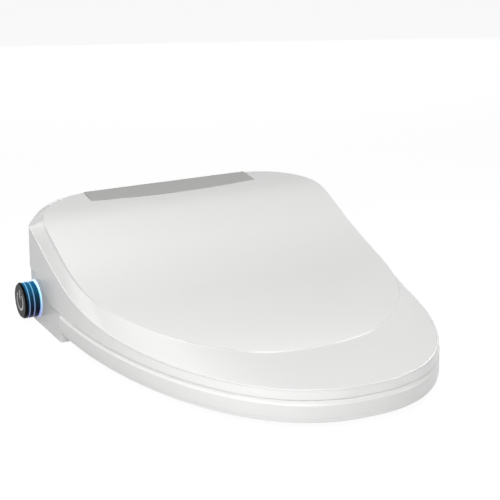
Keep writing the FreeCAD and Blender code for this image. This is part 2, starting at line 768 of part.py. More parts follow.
def base_top_shell():
    """Upper moulding of the base: low sides, tall housing, hinge lugs and every opening."""
    shell = base_walls()
    for lug in both_sides(hinge_hub()) + [knob_boss()]:
        shell = shell.fuse(lug)
    side = base_side()
    openings = [
        nozzle_mouth(), dryer_mouth(), light_slot(), window_bore(), gland_bore(), cartridge_bay(0.4),
        rod(size("knob_shaft_radius") + 0.5, 12, knob_spot(-side - 2), X_AXIS),
        rod(size("button_radius") + 0.4, 12, V(side - 8, size("button_back"), size("button_height")), X_AXIS)]
    for hole in openings + both_sides(eye(housing_half() - 10, 12, size("hinge_pin_radius"))):
        shell = shell.cut(hole)
    return shell


def plate_room(gap, high):
    half, deep = size("plate_length") / 2 + gap, size("plate_depth") / 2 + gap
    return block((-half, -deep, -1), (half, deep, high))


def inlet_pocket(grow):
    """Pocket open to the bottom and the rear, where the water hose is screwed on."""
    x, half = size("inlet_inset") - base_side(), size("pocket_half") + grow
    front = size("inlet_back") - size("pocket_reach") - grow
    return block((x - half, front, -1), (x + half, size("rear_reach") + 1, size("pocket_height") + grow))


def tray_form(inset, low, high):
    """Base outline as an upright body, moved inwards by inset."""
    return prism(unit_outline(size("side_recess") + inset), low, high).cut(base_ahead(inset))


def base_tray():
    """Bottom moulding of the base: a floor with a rim, a plate recess and the inlet pocket."""
    wall = size("wall")
    body = tray_form(0, 0, size("tray_height"))
    room = tray_form(wall, wall, size("tray_height") + 1).cut(plate_room(3.5, size("plate_thick") + 3.2))
    pocket = inlet_pocket(2).common(tray_form(wall, 0, size("pocket_height") + 5))
    body = body.cut(room).fuse(pocket).cut(inlet_pocket(0))
    return body.cut(plate_room(0.6, size("plate_thick") + 0.6)).cut(nozzle_mouth())


def dryer_grille():
    """Louvre in the mouth of the dryer."""
    grille = base_walls().common(dryer_mouth())
    side, half = size("dryer_side"), size("dryer_half") - 3
    for z in stepped(size("dryer_low") + 2.5, size("dryer_high") - 4.5, 4):
        grille = grille.cut(block((side - half, -size("base_front") - 10, z), (side + half, 0, z + 2)))
    return grille


def deck_strip():
    """Satin cover strip over the rear of the housing, with a bowed front edge."""
    thick = size("strip_thick")
    rear = size("rear_reach")
    profile = [(4, strip_line(4)), (rear - 1, strip_line(rear - 1)), (rear, strip_line(rear) - 1),
               (rear, strip_line(rear) - thick), (4, strip_line(4) - thick)]
    return along_x(profile, size("notch_half")).cut(hinge_barrel(0))


def ir_window():
    """Clear window of the remote control's receiver, flush with the base's side."""
    return base_walls().common(window_bore())


def night_light():
    return base_walls().common(light_slot())


# ---- wash nozzles -------------------------------------------------------------------------

def nozzle_spot(along, above):
    """Point in the nozzles' upright plane: distance from the retracted tip, height over the axis."""
    a = math.radians(size("nozzle_angle"))
    return V(0, -size("nozzle_tip_back") + along * math.cos(a) - above * math.sin(a),
             size("nozzle_tip_height") + along * math.sin(a) + above * math.cos(a))


def nozzle_direction():
    a = math.radians(size("nozzle_angle"))
    return V(0, math.cos(a), math.sin(a))


def nozzle(side):
    """Wash tube with a spray hole near the tip, on its upper side."""
    x = V(side * size("nozzle_spacing") / 2, 0, 0)
    tube = rod(size("nozzle_radius"), size("nozzle_length"), nozzle_spot(0, 0) + x, nozzle_direction())
    up = nozzle_spot(0, 1) - nozzle_spot(0, 0)
    return tube.cut(rod(1, 9, nozzle_spot(8, 1) + x, up))


def sloped_block(half, along, above):
    """Block in the nozzles' own frame: half width, (from, to) along the axis, (from, to) above it."""
    corners = [nozzle_spot(s, h) - V(half, 0, 0) for s, h in
               ((along[0], above[0]), (along[1], above[0]), (along[1], above[1]), (along[0], above[1]))]
    return Part.Face(Part.makePolygon(corners + corners[:1])).extrude(V(2 * half, 0, 0))


def drive_height():
    return size("nozzle_radius") + size("drive_radius") + size("free_gap")


def nozzle_cradle():
    """Sloping trough for both nozzles; its cheeks carry the drive motors, its foot stands on the tray."""
    radius, wall = size("nozzle_radius"), size("cradle_wall")
    inner = size("nozzle_spacing") / 2 + radius + 1
    low = -radius - size("free_gap")
    cradle = sloped_block(inner + wall, (22, 114), (low - wall, drive_height() + 3))
    cradle = cradle.cut(sloped_block(inner, (20, 116), (low, drive_height() + 6)))
    foot_top = nozzle_spot(95, low - wall / 2)
    foot = block((-inner, foot_top.y - 4, size("plate_thick") + 3.2), (inner, foot_top.y + 2, foot_top.z))
    centre = nozzle_spot(size("drive_reach"), drive_height())
    hole = rod(size("drive_shaft_radius") + 0.5, 80, V(-40, centre.y, centre.z), X_AXIS)
    return cradle.fuse(foot).cut(hole)


def drive_pinion(side):
    """Drive pinion, drawn as its pitch cylinder, with the motor shaft."""
    centre = nozzle_spot(size("drive_reach"), drive_height())
    face, x = size("drive_face"), size("nozzle_spacing") / 2
    wheel = rod(size("drive_radius"), face, V(x - face / 2, centre.y, centre.z), X_AXIS)
    shaft = rod(size("drive_shaft_radius"), motor_face() + 6 - x, V(x, centre.y, centre.z), X_AXIS)
    return both_sides(wheel.fuse(shaft))[side]


def motor_face():
    return size("nozzle_spacing") / 2 + size("nozzle_radius") + 1 + size("cradle_wall")


def drive_motor(side):
    """Square geared motor on a cheek of the cradle."""
    half = size("motor_half")
    centre = nozzle_spot(size("drive_reach"), drive_height())
    start = V(motor_face(), centre.y, centre.z)
    end = V(start.x + size("motor_length"), start.y + half, start.z + half)
    motor = block((start.x, start.y - half, start.z - half), end)
    bore = rod(size("drive_shaft_radius") + size("running_gap"), 7, start, X_AXIS)
    return both_sides(motor.cut(bore))[side]


# ---- air ----------------------------------------------------------------------------------

def blower_spot(z):
    return V(size("blower_side"), size("blower_back"), z)


def blower_floor():
    return size("plate_thick") + 3.2


def blower_housing():
    """Square housing with a round room, a post for the wheel and a mouth towards the duct."""
    low, wall = blower_floor(), size("duct_wall")
    high, radius = size("blower_height"), size("blower_radius")
    centre = blower_spot(low)
    corner = V(radius, radius, 0)
    shell = block(centre - corner, centre + corner + V(0, 0, high))
    shell = shell.cut(rod(radius - wall, high - 2 * wall, blower_spot(low + wall), Z_AXIS))
    side, half = size("dryer_side"), size("dryer_half") - 6
    mouth = block((side - half, centre.y - radius - 1, low + 9), (side + half, centre.y, low + high - 4))
    return shell.cut(mouth).fuse(rod(3, high - wall, blower_spot(low + 1), Z_AXIS))


def blower_wheel():
    """Wheel with six vanes on a disc."""
    low = blower_floor() + 4
    high = size("blower_height") - 8
    radius = size("impeller_radius")
    wheel = rod(radius, 2, blower_spot(low), Z_AXIS).fuse(rod(6, high, blower_spot(low), Z_AXIS))
    for k in range(6):
        vane = block((4, -0.75, 1), (radius - 1, 0.75, high))
        vane.rotate(V(), Z_AXIS, 60 * k)
        wheel = wheel.fuse(vane.translated(blower_spot(low)))
    return wheel.cut(rod(3 + size("running_gap"), 60, blower_spot(0), Z_AXIS))


def dryer_duct():
    """Square duct from the blower to the front face."""
    front = -size("base_front") + size("wall")
    rear = size("blower_back") - size("blower_radius")
    return dryer_box(0, front, rear).cut(dryer_box(size("duct_wall"), front - 1, rear + 1))


def fan_spot(x):
    return V(x, -size("cartridge_back"), size("fan_height"))


def fan_back():
    """Inner face of the fan's frame, which stands between the cartridge and the blower."""
    return cartridge_inner() - 22


def fan_frame():
    """Square frame on a foot, with a post for the fan."""
    radius, back = size("fan_radius"), fan_back()
    low, high = fan_spot(back), fan_spot(back + 14)
    corner = V(0, radius + 2, radius + 2)
    frame = block(low - corner, high + corner).cut(rod(radius + 0.5, 12, fan_spot(back + 2), X_AXIS))
    foot = block((low.x, low.y - 6, size("wall")), (high.x, low.y + 6, low.z - radius - 1))
    return frame.fuse(foot).fuse(rod(1.5, 14, low, X_AXIS))


def deodoriser_fan():
    """Small fan: a hub with five straight blades."""
    start = fan_spot(fan_back() + 4)
    fan = rod(3.5, 8, start, X_AXIS)
    for k in range(5):
        blade = block((0, -0.6, 2), (8, 0.6, size("fan_radius")))
        blade.rotate(V(), X_AXIS, 72 * k)
        fan = fan.fuse(blade.translated(start))
    return fan.cut(rod(1.5 + size("running_gap"), 20, fan_spot(fan_back() - 2), X_AXIS))


# ---- document helpers ---------------------------------------------------------------------

def keep(obj, name):
    obj.Label = name
    nodes.append(obj)
    return obj


def feature(name, shape):
    obj = doc.addObject("Part::Feature", name)
    obj.Shape = shape
    return keep(obj, name)


def cylinder(name, radius, height, x, y, z, turn=None):
    obj = bind(doc.addObject("Part::Cylinder", name), Radius=radius, Height=height)
    return at(obj, x, y, z, turn)


def box(name, length, width, height, x, y, z):
    obj = bind(doc.addObject("Part::Box", name), Length=length, Width=width, Height=height)
    return at(obj, x, y, z)


def cut(name, base, tool):
    obj = doc.addObject("Part::Cut", name)
    obj.Base, obj.Tool = base, tool
    return obj


def sketch_in(body, role):
    """Sketch on one of the body's own origin planes."""
    plane = next(item for item in body.Origin.OriginFeatures if item.Role == role)
    sketch = body.newObject("Sketcher::SketchObject", body.Name + "_sketch")
    sketch.AttachmentSupport = [(plane, "")]
    sketch.MapMode = "FlatFace"
    return sketch


def pin_point(sketch, item, spot, rules):
    """Hold a point of a sketch at two distances from the origin, each a rule of the sheet."""
    for kind, axis, rule in zip(("DistanceX", "DistanceY"), (-2, -1), rules):
        if rule == "0":
            sketch.addConstraint(Sketcher.Constraint("PointOnObject", item, spot, axis))
            continue
        index = sketch.addConstraint(Sketcher.Constraint(kind, -1, 1, item, spot, 1.0 + item))
        bind(sketch, **{"Constraints[%d]" % index: rule})


def chain(sketch, points):
    """Closed run of straight lines; each point is a pair of rules, and the constraints place it."""
    first = sketch.GeometryCount
    turns = [2 * math.pi * k / len(points) for k in range(len(points))]
    rough = [V(20 + 10 * math.cos(a), 20 + 10 * math.sin(a), 0) for a in turns]
    for start, end in zip(rough, rough[1:] + rough[:1]):
        sketch.addGeometry(Part.LineSegment(start, end))
    last = sketch.GeometryCount - 1
    for item in range(first, last + 1):
        follower = first if item == last else item + 1
        sketch.addConstraint(Sketcher.Constraint("Coincident", item, 2, follower, 1))
    for item, rules in enumerate(points, start=first):
        pin_point(sketch, item, 1, rules)


def circle(sketch, x, y, radius):
    item = sketch.addGeometry(Part.Circle(V(10, 10, 0), Z_AXIS, 5))
    pin_point(sketch, item, 3, (x, y))
    index = sketch.addConstraint(Sketcher.Constraint("Radius", item, 5))
    bind(sketch, **{"Constraints[%d]" % index: radius})


def solid_feature(body, kind, sketch):
    step = body.newObject("PartDesign::" + kind, "%s_%s" % (body.Name, kind.lower()))
    step.Profile = (sketch, [""])
    return step


# ---- pieces built from primitives and bodies ----------------------------------------------

def mounting_plate():
    """Plate on the bowl, with two slots for the bowl bolts."""
    body = doc.addObject("PartDesign::Body", "mounting_plate")
    rim = sketch_in(body, "XY_Plane")
    chain(rim, [("0", "0"), ("plate_length", "0"), ("plate_length", "plate_depth"), ("0", "plate_depth")])
    bind(solid_feature(body, "Pad", rim), Length="plate_thick")
    middle = "plate_length / 2 - bolt_spacing / 2"
    straight = "(bolt_slot_length / 2 - bolt_slot_half_width)"
    start, end = middle + " - " + straight, middle + " + " + straight
    low, high = "plate_depth / 2 - bolt_slot_half_width", "plate_depth / 2 + bolt_slot_half_width"
    slot = sketch_in(body, "XY_Plane")
    chain(slot, [(start, low), (end, low), (end, high), (start, high)])
    ends = sketch_in(body, "XY_Plane")
    for x in (start, end):
        circle(ends, x, "plate_depth / 2", "bolt_slot_half_width")
    cuts = [solid_feature(body, "Pocket", sketch) for sketch in (slot, ends)]
    for pocket in cuts:
        pocket.Type = 1
        pocket.Midplane = True
    pair = body.newObject("PartDesign::LinearPattern", "mounting_plate_pair")
    pair.Originals = cuts
    pair.Direction = (slot, ["H_Axis"])
    bind(pair, Length="bolt_spacing")
    pair.Occurrences = 2
    body.Tip = pair
    at(body, "-plate_length / 2", "-plate_depth / 2", "0")
    keep(body, "mounting_plate")


LID_SWING = "(hypot(rear_reach + hinge_forward; hinge_drop) + lid_gap)"
KNOB_Z = "((crest_height - hinge_drop - " + LID_SWING + ") / 2 - knob_sink)"
KNOB_SOCKET = "(knob_reach - knob_end_wall)"
KNOB_BORE = "(knob_shaft_radius + running_gap)"


def knob():
    """Side knob, turned about its own X axis, which points out of the base."""
    body = doc.addObject("PartDesign::Body", "knob")
    profile = sketch_in(body, "XY_Plane")
    foot = "halo_thick + knob_travel + free_gap"
    chain(profile, [(foot, KNOB_BORE), (foot, "knob_radius"), ("knob_reach - knob_edge", "knob_radius"),
                    ("knob_reach", "knob_radius - knob_edge"), ("knob_reach", "0"),
                    (KNOB_SOCKET, "0"), (KNOB_SOCKET, KNOB_BORE)])
    turned = solid_feature(body, "Revolution", profile)
    turned.ReferenceAxis = (next(item for item in body.Origin.OriginFeatures if item.Role == "X_Axis"), [""])
    turned.Angle = 360
    body.Tip = turned
    at(body, "side_recess - widest_half", "-knob_forward", KNOB_Z, FreeCAD.Rotation(Z_AXIS, 180))
    keep(body, "knob")


def knob_parts():
    """Shaft that the knob turns on, its light ring and the encoder behind the wall."""
    y, z = "-knob_forward", KNOB_Z
    keep(cylinder("knob_shaft", "knob_shaft_radius", KNOB_SOCKET + " - free_gap + 13.7",
                  "side_recess - widest_half + free_gap - " + KNOB_SOCKET, y, z, ALONG_X), "knob_shaft")
    wall_x = "side_recess - widest_half"
    ring = cylinder("halo_disc", "halo_radius", "halo_thick", wall_x + " - halo_thick", y, z, ALONG_X)
    hole = cylinder("halo_hole", "halo_radius - 4", "halo_thick + 2", wall_x + " - halo_thick - 1",
                    y, z, ALONG_X)
    keep(cut("knob_halo", ring, hole), "knob_halo")
    case = box("encoder_case", "encoder_depth", "encoder_side", "encoder_side", wall_x + " + 6",
               "-knob_forward - encoder_side / 2", KNOB_Z + " - encoder_side / 2")
    bore = cylinder("encoder_bore", KNOB_BORE, 11.2, wall_x + " + 5", y, z, ALONG_X)
    keep(cut("knob_encoder", case, bore), "knob_encoder")


INLET_X = "(inlet_inset + side_recess - widest_half)"


def water_parts():
    """Inlet stub with its filter, valve, hose, heater tank and pump."""
    y = "inlet_back"
    stub = cylinder("inlet_stub", "inlet_thread_radius", 12, INLET_X, y, 1)
    bore = cylinder("inlet_bore", 7, 13, INLET_X, y, 0)
    keep(cut("water_inlet", stub, bore), "water_inlet")
    keep(cylinder("inlet_filter", 7, 5, INLET_X, y, 6), "inlet_filter")
    valve_x = INLET_X + " - 15"
    keep(box("solenoid_valve", "valve_length", "valve_width", "valve_width", valve_x,
             "inlet_back + 13 - valve_width", "valve_low"), "solenoid_valve")
    valve_end = INLET_X + " - 15 + valve_length"
    keep(cylinder("valve_hose", "hose_radius", "-tank_side - (" + valve_end + ")", valve_end,
                  "inlet_back - hose_radius", "valve_low + 12", ALONG_X), "valve_hose")
    keep(box("heater_tank", "tank_length", "tank_width", "tank_height", "-tank_side", "-tank_width / 2",
             "plate_thick + 3.2"), "heater_tank")
    keep(box("pump", "pump_width", "pump_width", "pump_height", "-pump_side", "-pump_back", "wall"), "pump")


def small_parts():
    """Boards, gland, release button and deodoriser cartridge."""
    keep(box("main_board", "board_length", "board_thick", "board_height", "-board_length / 2",
             "rear_reach - wall - board_thick", "board_low"), "main_board")
    keep(box("power_board", "dryer_half * 2 - 2 * duct_wall", 40, "board_thick",
             "dryer_side - dryer_half + duct_wall", "7.5 - base_front", "dryer_high"), "power_board")
    gland_x = "widest_half - side_recess - gland_inset"
    sleeve = cylinder("gland_sleeve", "gland_radius", 6.5, gland_x, "rear_reach - 7", "gland_height", ALONG_Y)
    hole = cylinder("gland_hole", "gland_radius - 5.5", 8.5, gland_x, "rear_reach - 8", "gland_height",
                    ALONG_Y)
    keep(cut("cable_gland", sleeve, hole), "cable_gland")
    keep(cylinder("release_button", "button_radius", 8.7, "widest_half - side_recess - 7.7",
                  "button_back", "button_height", ALONG_X), "release_button")
    keep(box("deodoriser_cartridge", "cartridge_length", "cartridge_width", "cartridge_height",
             "widest_half - side_recess - cartridge_length", "-cartridge_back - cartridge_width / 2",
             "cartridge_low"), "deodoriser_cartridge")


def hinge_pin(side):
    outer = boss_inner() + size("boss_thick") + 0.5
    inner = housing_half() - 10
    return both_sides(eye(inner, outer - inner, size("hinge_pin_radius")))[side]


RIGHT, LEFT = 0, 1
FORMS = [
    ("lid_shell", lid_shell), ("lid_bumpers", lid_bumpers), ("seat_top_shell", seat_top_shell),
    ("seat_bottom_shell", seat_bottom_shell), ("seat_heater_foil", seat_heater_foil),
    ("seat_bumpers", seat_bumpers), ("occupancy_sensor", occupancy_sensor),
    ("base_top_shell", base_top_shell), ("base_tray", base_tray), ("deck_strip", deck_strip),
    ("dryer_grille", dryer_grille), ("ir_window", ir_window), ("night_light", night_light),
    ("nozzle_cradle", nozzle_cradle), ("blower_housing", blower_housing), ("blower_wheel", blower_wheel),
    ("dryer_duct", dryer_duct), ("fan_frame", fan_frame), ("deodoriser_fan", deodoriser_fan)]
for name, form in FORMS:
    feature(name, form())
for side, word in ((RIGHT, "right"), (LEFT, "left")):
    feature("hinge_pin_" + word, hinge_pin(side))
    feature("drive_pinion_" + word, drive_pinion(side))
    feature("drive_motor_" + word, drive_motor(side))
feature("rear_nozzle", nozzle(-1))
feature("front_nozzle", nozzle(1))
mounting_plate()
knob()
knob_parts()
water_parts()
small_parts()
doc.recompute()

for obj in doc.Objects:
    if "Invalid" in obj.State or "Error" in obj.State:
        raise RuntimeError("%s failed: %s" % (obj.Label, obj.State))
for node in nodes:
    if node.Shape.isNull() or not node.Shape.isValid() or not node.Shape.Solids:
        raise RuntimeError("%s has no valid solid" % node.Label)

os.makedirs("parts", exist_ok=True)
for node in nodes:
    node.Shape.exportStep("parts/%s.step" % node.Label)
    print(node.Label, round(node.Shape.Volume / 1000, 1), "cm3")
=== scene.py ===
# %% [markdown]
# # Electric bidet seat
#
# A white electric bidet seat: one broad lid that rises towards the rear, a slim seat ring under it,
# a full-width base, a satin strip along the rear edge and a black control knob on the side.
# The solids come from the shared frame. This lesson rounds the edges that a moulding really has,
# gives every piece its finish, adds the knob's glowing rings, and lights it on white paper.
# The frame is in metres. Small sizes are given in millimetres, in names that end in MM.

# %% Set up
import bpy
import bmesh
import json
import math
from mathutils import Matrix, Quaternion, Vector


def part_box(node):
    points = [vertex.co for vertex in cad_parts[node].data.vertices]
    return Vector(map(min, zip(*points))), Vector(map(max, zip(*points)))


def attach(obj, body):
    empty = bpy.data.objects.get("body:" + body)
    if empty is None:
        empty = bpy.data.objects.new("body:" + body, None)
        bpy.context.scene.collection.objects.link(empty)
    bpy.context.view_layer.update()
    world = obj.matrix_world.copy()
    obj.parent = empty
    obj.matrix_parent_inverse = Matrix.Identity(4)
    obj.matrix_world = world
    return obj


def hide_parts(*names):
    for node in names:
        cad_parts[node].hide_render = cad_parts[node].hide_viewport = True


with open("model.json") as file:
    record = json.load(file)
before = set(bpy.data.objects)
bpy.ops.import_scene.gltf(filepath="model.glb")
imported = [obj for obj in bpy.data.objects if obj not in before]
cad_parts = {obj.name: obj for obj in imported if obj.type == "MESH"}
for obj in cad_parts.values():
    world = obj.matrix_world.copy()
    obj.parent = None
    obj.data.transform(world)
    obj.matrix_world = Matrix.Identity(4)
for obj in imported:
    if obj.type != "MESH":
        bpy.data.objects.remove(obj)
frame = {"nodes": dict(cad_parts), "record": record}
scene = bpy.context.scene
nodes = frame["nodes"]


def plain(corners):
    """The two corners of a box as plain lists of numbers."""
    return [[float(v) for v in corner] for corner in corners]


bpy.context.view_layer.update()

# %% [markdown]
# ## Colours and shader nodes
#
# A paint chart gives colours as sRGB hex, but a renderer adds up light, so one function turns the
# hex into linear light. Materials could be clicked together in the shader editor. In code a recipe
# can be read as a list and used again, so one short function adds a node and plugs its feeds in.

# %% Colours and nodes


def linear(hex_colour):
    """An sRGB hex colour as linear light, with full opacity."""
    channels = [int(hex_colour[k:k + 2], 16) / 255 for k in (1, 3, 5)]
    light = [c / 12.92 if c <= 0.04045 else ((c + 0.055) / 1.055) ** 2.4 for c in channels]
    return (*light, 1.0)


def add(tree, kind, *feeds, **values):
    """Add a shader node. Feeds go to its inputs in order, values to inputs or settings by name."""
    node = tree.nodes.new("ShaderNode" + kind)
    pairs = list(zip(node.inputs, feeds))
    for name, value in values.items():
        label = name.replace("_", " ")
        if label in node.inputs:
            pairs.append((node.inputs[label], value))
        else:
            setattr(node, name, value)
    for socket, value in pairs:
        if isinstance(value, bpy.types.NodeSocket):
            tree.links.new(value, socket)
        else:
            socket.default_value = value
    return node


def new_material(name):
    """A material with its node tree and its main shader."""
    material = bpy.data.materials.new(name)
    material.use_nodes = True
    tree = material.node_tree
    return material, tree, next(n for n in tree.nodes if n.type == "BSDF_PRINCIPLED")


print("white plastic in linear light", linear("#F4F4F3"))

# %% [markdown]
# ## An uneven surface
#
# No moulding or ground metal reflects like a mirror: the die's polish, the shrinking plastic or the
# grinding wheel leaves a faint pattern. Modelling that would need millions of faces, so one noise
# serves twice, as a bump of some hundredths of a millimetre and as patches of more and less gloss.
# The pattern's size is given in millimetres and turned into the noise's scale, which counts waves
# to the metre.

# %% Surface
BUMP_DEPTH_MM = 0.02


def uneven(tree, shader, smoothest, roughest, grain_mm, strength, detail=2.0):
    """Low bumps, and patches of gloss between two roughness values, both from one noise.

    Detail says how many finer waves lie on the main one.
    """
    place = add(tree, "TexCoord").outputs["Object"]
    noise = add(tree, "TexNoise", place, Scale=1000 / grain_mm, Detail=detail).outputs["Fac"]
    bump = add(tree, "Bump", Strength=strength, Distance=BUMP_DEPTH_MM / 1000, Height=noise)
    tree.links.new(bump.outputs["Normal"], shader.inputs["Normal"])
    gloss = add(tree, "MapRange", noise, To_Min=smoothest, To_Max=roughest)
    tree.links.new(gloss.outputs["Result"], shader.inputs["Roughness"])


print("bump depth", BUMP_DEPTH_MM, "mm")

# %% [markdown]
# ## Plastics
#
# The large mouldings are glossy ABS or polypropylene, dense whites with a clear, soft reflection.
# A big moulding from a polished die has no grain, only a long, low waviness where the plastic
# shrank over its ribs, some 90 mm from crest to crest. A textured die leaves a grain of a tenth of
# a millimetre or less. That is too fine to show, so it is drawn at one or two millimetres. Each
# plastic is one recipe with its own numbers, so that they differ as the real ones do.

# %% Plastics
SHRINK_WAVE_MM = 90.0


def plastic(name, colour, smoothest, roughest, grain_mm=SHRINK_WAVE_MM, strength=0.08):
    """A moulding's waves are plain, so they have no finer ones on them."""
    material, tree, shader = new_material(name)
    shader.inputs["Base Color"].default_value = linear(colour)
    uneven(tree, shader, smoothest, roughest, grain_mm, strength, detail=0.0)
    return material


# Name, colour, lowest and highest roughness, and the grain's size and strength where it has one.
# ABS from a polished die: lamps show on it as soft patches.
lid_white = plastic("glossy_white_abs_lid", "#F4F4F3", 0.24, 0.27)
# Polypropylene shrinks a little more in the die, so its gloss is softer.
seat_white = plastic("glossy_white_polypropylene", "#F5F5F4", 0.27, 0.33)
# ABS from a plainer die, for parts that hands don't polish: a shade greyer and less glossy.
base_white = plastic("white_abs_base", "#EEEEED", 0.28, 0.36)
# ABS from a spark-eroded die: a fine satin that spreads the light.
strip_satin = plastic("satin_grey_white_abs", "#BDBDBB", 0.42, 0.50, 1.2, 0.15)
# Nylon with glass fibres: the fibres roughen it, so it stays dull and dark.
inner_grey = plastic("dark_glass_filled_nylon", "#4A4C50", 0.5, 0.6, 1.0, 0.3)
# Lacquer screened over a circuit board: an even green with a low gloss.
board_green = plastic("solder_mask_green", "#1E5A34", 0.35, 0.45, 1.5, 0.1)
# Silicone pressed in a blasted mould: matt, with hardly any highlight.
rubber = plastic("grey_silicone_rubber", "#B9B9B6", 0.6, 0.7, 0.8, 0.3)
# Frosted polycarbonate: a cold white that hides the lamp behind it.
lens_white = plastic("frosted_polycarbonate_lens", "#E6EDF2", 0.35, 0.45, 2.0, 0.1)
# Smoked polycarbonate, polished: nearly black with a sharp reflection.
smoked = plastic("smoked_polycarbonate", "#171317", 0.08, 0.14)
print("plastics made")

# %% [markdown]
# ## Metals
#
# Few metal parts are seen: the nozzles, the inlet and what shows from below. They are plain bare
# metals, so a metallic shader with the metal's own colour is enough, and it keeps its usual IOR.
# Grinding, turning and drawing leave marks too fine to show, so their pattern is drawn at one or
# two millimetres, as coarse as it needs to be to break up the reflection.

# %% Metals
METAL_BUMP = 0.1


def metal(name, colour, smoothest, roughest, grain_mm):
    material, tree, shader = new_material(name)
    shader.inputs["Base Color"].default_value = linear(colour)
    shader.inputs["Metallic"].default_value = 1.0
    uneven(tree, shader, smoothest, roughest, grain_mm, METAL_BUMP)
    return material


# Ground stainless steel: a grey sheen with blurred reflections.
steel = metal("ground_stainless_steel", "#B9BBBD", 0.25, 0.38, 0.8)
# Polished stainless tube: brighter, with reflections that can nearly be read.
nozzle_steel = metal("polished_stainless_steel", "#CDCFD1", 0.12, 0.2, 2.0)
# Turned brass: warm yellow, softened by the tool's fine rings.
brass = metal("machined_brass", "#C9A45A", 0.25, 0.35, 1.0)
# Rolled aluminium foil: pale, and slightly crumpled where it is glued down.
foil = metal("aluminium_heating_foil", "#D2D4D6", 0.3, 0.45, 2.0)
print("metals made")

# %% [markdown]
# ## Finding the knob
#
# The knob's finish has rings and a sign that must sit right on it. Their places could be typed in
# as numbers, but those would be wrong as soon as the solid changes. So the knob's face, axis and
# radius are read from its box. Two helpers then work on them: a stripe between two limits, and a
# run of colours over the knob's height.

# %% Knob measures and helpers
knob_low, knob_high = plain(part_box("knob"))
KNOB_FACE_X = knob_low[0]
KNOB_Y, KNOB_Z = [(knob_low[k] + knob_high[k]) / 2 for k in (1, 2)]
KNOB_RADIUS = (knob_high[2] - knob_low[2]) / 2
print("knob face at", KNOB_FACE_X, "axis", KNOB_Y, KNOB_Z, "radius", KNOB_RADIUS)


def between(tree, value, low, high):
    """1 where the value lies between two limits, else 0."""
    over = add(tree, "Math", value, low, operation="GREATER_THAN").outputs[0]
    under = add(tree, "Math", value, high, operation="LESS_THAN").outputs[0]
    return add(tree, "Math", over, under, operation="MULTIPLY").outputs[0]


def height_colour(tree, z, colours):
    """A run of colours from the knob's lowest point, 0, to its highest, 1."""
    lowest, highest = KNOB_Z - KNOB_RADIUS, KNOB_Z + KNOB_RADIUS
    share = add(tree, "MapRange", z, lowest, highest).outputs["Result"]
    ramp = add(tree, "ValToRGB", share)
    stops = ramp.color_ramp.elements
    while len(stops) < len(colours):
        stops.new(0.5)
    for stop, (position, colour) in zip(stops, colours):
        stop.position, stop.color = position, linear(colour)
    return ramp.outputs["Color"]


# %% [markdown]
# ## The knob's light
#
# The side knob is piano-black ABS. Two thin rings of clear plastic run round its flank and glow
# between black bands. They could be pieces of their own, but they lie flush, so stripes on the
# distance from the knob's face do the same. Their colour runs from lavender at the bottom to cyan
# at the top, as it does where one lamp feeds a ring from above, so it comes from the height. The
# black bands get a faint painted glow too, dark blue at the bottom and brighter blue at the top.

# %% Knob flank
# The rings, and where the flank starts, are measured from the knob's face along its axis.
RINGS_MM = ((4.7, 5.9), (10.7, 11.9))
FLANK_FROM_MM = 2.5
PAST_THE_KNOB = 1.0
RING_STRENGTH = 1.0
NO_GLOW = (0.0, 0.0, 0.0, 1.0)
LOW_REFLECTION = 0.04
# Share of the knob's height, from 0 at its lowest point to 1 at its highest, and colour.
# The black bands' painted glow: dark blue at the bottom, brighter blue at the top.
BAND_PAINTED_GLOW_COLOURS = ((0.0, "#17173C"), (0.35, "#0C1122"), (0.7, "#0B334C"), (1.0, "#136491"))
RING_COLOURS = ((0.0, "#8C88B4"), (0.45, "#7F9CCB"), (1.0, "#7CC6EA"))

# Piano-black ABS: polished so well that its pattern, 8 mm across, hardly shows. The rings' glow
# matters more than what the black reflects, so its reflection is kept low.
knob_black, tree, shader = new_material("piano_black_abs_with_light_rings")
uneven(tree, shader, smoothest=0.10, roughest=0.16, grain_mm=8.0, strength=0.03)
shader.inputs["Specular IOR Level"].default_value = LOW_REFLECTION
axes = add(tree, "SeparateXYZ", add(tree, "TexCoord").outputs["Object"]).outputs
first, second = [between(tree, axes["X"], KNOB_FACE_X + start / 1000, KNOB_FACE_X + end / 1000)
                 for start, end in RINGS_MM]
rings = add(tree, "Math", first, second, operation="ADD").outputs[0]
bands = height_colour(tree, axes["Z"], BAND_PAINTED_GLOW_COLOURS)
lit = height_colour(tree, axes["Z"], RING_COLOURS)
flank = between(tree, axes["X"], KNOB_FACE_X + FLANK_FROM_MM / 1000, PAST_THE_KNOB)
# The flank's black bands get a faint painted glow, brighter towards the top.
painted_band_glow = add(tree, "MixRGB", flank, NO_GLOW, bands).outputs[0]
glow = add(tree, "MixRGB", rings, painted_band_glow, lit).outputs[0]
tree.links.new(glow, shader.inputs["Emission Color"])
shader.inputs["Emission Strength"].default_value = RING_STRENGTH
# The rings are too faint to light anything, so the renderer needn't aim rays at them.
knob_black.cycles.emission_sampling = "NONE"
print("knob flank with", len(RINGS_MM), "rings")

# %% [markdown]
# ## The power sign
#
# The knob's face carries a generic power sign, an open circle and a bar, printed in white on the
# black. A print has no thickness to speak of, so it is only a change of colour. A decal could
# carry it, but a few sums on the distance from the knob's axis keep it sharp at any size.

# %% Power sign
CIRCLE_RADII_MM = (9.6, 12.0)
# The circle is open where the height is more than this share of the radius.
OPENING_SHARE = 0.72
BAR_HALF_WIDTH_MM = 1.3
BAR_HEIGHTS_MM = (2.0, 13.5)
# The print reaches this far back from the face, and the flank behind it stays black.
FACE_DEPTH_MM = 0.5
BLACK_PLASTIC = "#050506"
WHITE_INK = "#F2F2F2"

